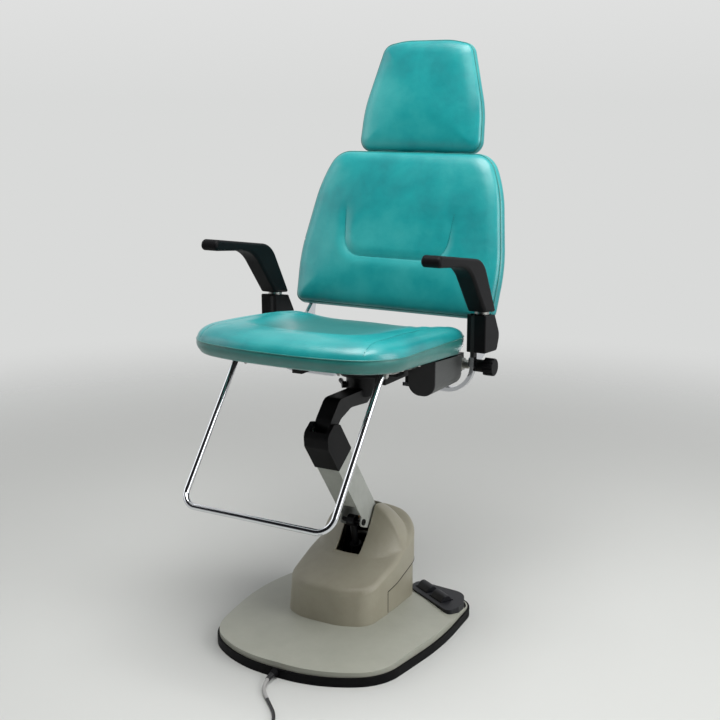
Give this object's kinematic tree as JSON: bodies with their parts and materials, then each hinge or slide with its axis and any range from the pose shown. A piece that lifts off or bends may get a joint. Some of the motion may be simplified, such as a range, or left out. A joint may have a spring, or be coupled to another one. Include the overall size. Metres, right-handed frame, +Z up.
{
  "type": "treatment chair",
  "caption": "Powered shampoo and treatment chair: padded reclining seat with headrest and swing-out arms on a forward-leaning lift arm, shrouded base and foot switch.",
  "frame": {"origin": "on the floor under the middle of the base", "axes": "+Z up, the chair faces -Y, +X towards the sitter's left"},
  "size_m": [0.591, 1.095, 1.3437],
  "materials": {
    "upholstery": "glossy vinyl",
    "black_plastic": "satin",
    "beige_plastic": "satin",
    "black_rubber": "matt",
    "grey_sleeve": "matt",
    "grey_paint": "satin",
    "black_paint": "satin",
    "chrome": "polished",
    "steel": "brushed",
    "bronze": "machined",
    "aluminium": "satin",
    "plywood": "stained"
  },
  "bodies": {
    "base": {"base_edge_trim": "black_rubber", "base_plate": "steel", "base_cover": "beige_plastic", "shroud_skirt": "beige_plastic", "shroud_hood": "beige_plastic", "pivot_bracket": "black_paint", "main_pivot_shaft": "steel", "linkage_pins": "steel", "actuator_foot_bracket": "black_paint", "foot_switch_panel": "black_plastic", "pedal_pins": "steel", "cord_gland": "black_rubber", "cord_sleeve": "grey_sleeve", "mains_cord": "black_rubber", "cord_coil": "black_rubber", "cord_tie": "black_plastic", "mains_plug": "black_plastic"},
    "lift": {"lift_arm": "grey_paint", "arm_bushes": "bronze", "knuckle_pin": "steel", "ram_pin": "steel", "knuckle_cap": "black_plastic"},
    "levelling": {"levelling_rod": "steel"},
    "actuator": {"actuator_tube": "aluminium", "actuator_motor": "black_plastic"},
    "ram": {"actuator_ram": "steel"},
    "carrier": {"gooseneck": "black_paint", "levelling_pin_upper": "steel", "thrust_washer": "bronze"},
    "swivel_lock": {"swivel_lock_lever": "black_paint"},
    "seat": {"swivel_spindle": "black_paint", "seat_frame": "black_paint", "seat_pan": "plywood", "seat_cushion": "upholstery", "footrest_loop": "chrome", "footrest_clamps": "steel", "clamp_bolts": "steel", "arm_bar_left": "chrome", "arm_bar_right": "chrome", "arm_bar_brackets": "black_paint", "arm_post_left": "black_plastic", "arm_post_right": "black_plastic", "recline_box": "black_plastic", "recline_brackets": "black_paint"},
    "arm_left": {"armrest_left": "black_plastic", "arm_spindle_left": "steel"},
    "arm_right": {"armrest_right": "black_plastic", "arm_spindle_right": "steel"},
    "backrest": {"recline_shaft": "steel", "back_bar_left": "chrome", "back_bar_right": "chrome", "back_panel": "black_plastic", "back_cushion": "upholstery", "headrest_guides": "black_plastic"},
    "headrest": {"headrest_posts": "black_paint", "headrest_panel": "black_plastic", "headrest_cushion": "upholstery"},
    "knob": {"recline_knob": "black_plastic"},
    "up_pedal": {"pedal_up": "black_plastic"},
    "down_pedal": {"pedal_down": "black_plastic"}
  },
  "joints": [
    {"name": "lift", "type": "hinge", "parent": "base", "child": "lift", "pos_m": [0, 0.151, 0.218], "axis": [-1, 0, 0], "range_deg": [-34, 12]},
    {"name": "levelling_pivot", "type": "hinge", "parent": "base", "child": "levelling", "pos_m": [0.017, 0.1405, 0.19], "axis": [-1, 0, 0], "range_deg": [-34, 12]},
    {"name": "knuckle", "type": "hinge", "parent": "lift", "child": "carrier", "pos_m": [0, -0.046, 0.489], "axis": [-1, 0, 0], "range_deg": [-12, 34]},
    {"name": "actuator_foot", "type": "hinge", "parent": "base", "child": "actuator", "pos_m": [0, 0.108, 0.088], "axis": [-1, 0, 0], "range_deg": [-8.5, 3.2]},
    {"name": "ram_stroke", "type": "slide", "parent": "actuator", "child": "ram", "axis": [0, -0.2396, 0.9709], "range_m": [-0.0475, 0.017]},
    {"name": "swivel", "type": "hinge", "parent": "carrier", "child": "seat", "pos_m": [0, 0.115, 0.587], "axis": [0, 0, 1], "continuous": true},
    {"name": "swivel_lock", "type": "hinge", "parent": "carrier", "child": "swivel_lock", "pos_m": [0, 0.115, 0.564], "axis": [-0.766, -0.6428, 0], "range_deg": [-25, 60]},
    {"name": "recline", "type": "hinge", "parent": "seat", "child": "backrest", "pos_m": [0, 0.19, 0.621], "axis": [-1, 0, 0], "range_deg": [0, 62]},
    {"name": "headrest_height", "type": "slide", "parent": "backrest", "child": "headrest", "axis": [0, 0.2924, 0.9563], "range_m": [0, 0.08]},
    {"name": "arm_left_swing", "type": "hinge", "parent": "seat", "child": "arm_left", "pos_m": [0.272, 0.168, 0.749], "axis": [0, 0.1219, 0.9925], "range_deg": [0, 90]},
    {"name": "arm_right_swing", "type": "hinge", "parent": "seat", "child": "arm_right", "pos_m": [-0.272, 0.168, 0.749], "axis": [0, -0.1219, -0.9925], "range_deg": [0, 90]},
    {"name": "recline_knob_turn", "type": "hinge", "parent": "backrest", "child": "knob", "pos_m": [0.26, 0.19, 0.621], "axis": [1, 0, 0], "range_deg": [0, 270]},
    {"name": "pedal_up_press", "type": "hinge", "parent": "base", "child": "up_pedal", "pos_m": [0.11482, 0.21171, 0.041], "axis": [-0.8572, 0.515, 0], "range_deg": [0, 5], "stiffness_Nm_per_rad": 6},
    {"name": "pedal_down_press", "type": "hinge", "parent": "base", "child": "down_pedal", "pos_m": [0.16882, 0.17771, 0.041], "axis": [-0.8572, 0.515, 0], "range_deg": [0, 5], "stiffness_Nm_per_rad": 6}
  ],
  "couplings": [
    {"joint": "levelling_pivot", "follows": "lift", "ratio": 1},
    {"joint": "knuckle", "follows": "lift", "ratio": -1},
    {"joint": "actuator_foot", "follows": "lift", "ratio": 0.24},
    {"joint": "ram_stroke", "follows": "lift", "m_per_rad": 0.078}
  ]
}
